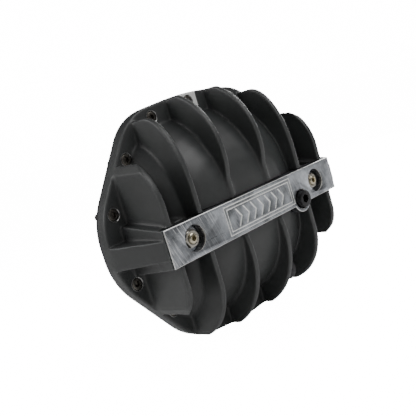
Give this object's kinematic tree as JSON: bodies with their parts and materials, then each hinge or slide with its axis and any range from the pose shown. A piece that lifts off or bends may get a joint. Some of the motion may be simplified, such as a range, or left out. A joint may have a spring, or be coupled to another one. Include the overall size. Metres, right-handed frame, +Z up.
{
  "type": "differential cover",
  "caption": "Finned axle differential cover with a bolted support bar, bearing-cap load screws, a fill plug, a drain plug and a ring of sunk flange screws.",
  "frame": {"origin": "centre of the mating plane (the gasket's rear face), at the height of the load screws", "axes": "+X to the right along the support bar, +Y into the axle housing, +Z up; the dome bulges towards -Y"},
  "size_m": [0.347, 0.1096, 0.2925],
  "materials": {
    "cast_black": "satin",
    "billet": "machined",
    "gasket_sheet": "matte",
    "black_oxide": "satin",
    "yellow_zinc": "plated",
    "clear_zinc": "plated",
    "seal_metal": "satin",
    "magnet_steel": "plated"
  },
  "bodies": {
    "cover": {"cover_casting": "cast_black", "support_bar": "billet", "flange_gasket": "gasket_sheet", "flange_screw_01": "black_oxide", "flange_screw_02": "black_oxide", "flange_screw_03": "black_oxide", "flange_screw_04": "black_oxide", "flange_screw_05": "black_oxide", "flange_screw_06": "black_oxide", "flange_screw_07": "black_oxide", "flange_screw_08": "black_oxide", "flange_screw_09": "black_oxide", "flange_screw_10": "black_oxide", "flange_screw_11": "black_oxide", "flange_screw_12": "black_oxide", "flange_screw_13": "black_oxide", "flange_screw_14": "black_oxide"},
    "left_washer": {"left_seal_washer": "seal_metal"},
    "left_screw": {"left_load_screw": "yellow_zinc", "left_jam_nut": "clear_zinc"},
    "right_washer": {"right_seal_washer": "seal_metal"},
    "right_screw": {"right_load_screw": "yellow_zinc", "right_jam_nut": "clear_zinc"},
    "fill_seal": {"fill_plug_seal": "seal_metal"},
    "fill": {"fill_plug": "black_oxide"},
    "drain_seal": {"drain_plug_seal": "seal_metal"},
    "drain": {"drain_plug": "black_oxide", "drain_plug_magnet": "magnet_steel"}
  },
  "joints": [
    {"name": "left_screw_travel", "type": "slide", "parent": "cover", "child": "left_washer", "axis": [0, -1, 0], "range_m": [0, 0.007]},
    {"name": "left_screw_turn", "type": "hinge", "parent": "left_washer", "child": "left_screw", "pos_m": [-0.111, -0.08, 0], "axis": [0, -1, 0], "range_deg": [0, 1440]},
    {"name": "right_screw_travel", "type": "slide", "parent": "cover", "child": "right_washer", "axis": [0, -1, 0], "range_m": [0, 0.007]},
    {"name": "right_screw_turn", "type": "hinge", "parent": "right_washer", "child": "right_screw", "pos_m": [0.111, -0.08, 0], "axis": [0, -1, 0], "range_deg": [0, 1440]},
    {"name": "fill_plug_travel", "type": "slide", "parent": "cover", "child": "fill_seal", "axis": [0, -1, 0], "range_m": [0, 0.018]},
    {"name": "fill_plug_turn", "type": "hinge", "parent": "fill_seal", "child": "fill", "pos_m": [0.076, -0.08, -0.015], "axis": [0, -1, 0], "range_deg": [0, 4320]},
    {"name": "drain_plug_travel", "type": "slide", "parent": "cover", "child": "drain_seal", "axis": [0, -1, 0], "range_m": [0, 0.018]},
    {"name": "drain_plug_turn", "type": "hinge", "parent": "drain_seal", "child": "drain", "pos_m": [0.0523, -0.05, -0.101], "axis": [0, -1, 0], "range_deg": [0, 4320]}
  ],
  "couplings": [
    {"joint": "left_screw_turn", "follows": "left_screw_travel", "rad_per_m": 3590.4},
    {"joint": "right_screw_turn", "follows": "right_screw_travel", "rad_per_m": 3590.4},
    {"joint": "fill_plug_turn", "follows": "fill_plug_travel", "rad_per_m": 4188.8},
    {"joint": "drain_plug_turn", "follows": "drain_plug_travel", "rad_per_m": 4188.8}
  ]
}
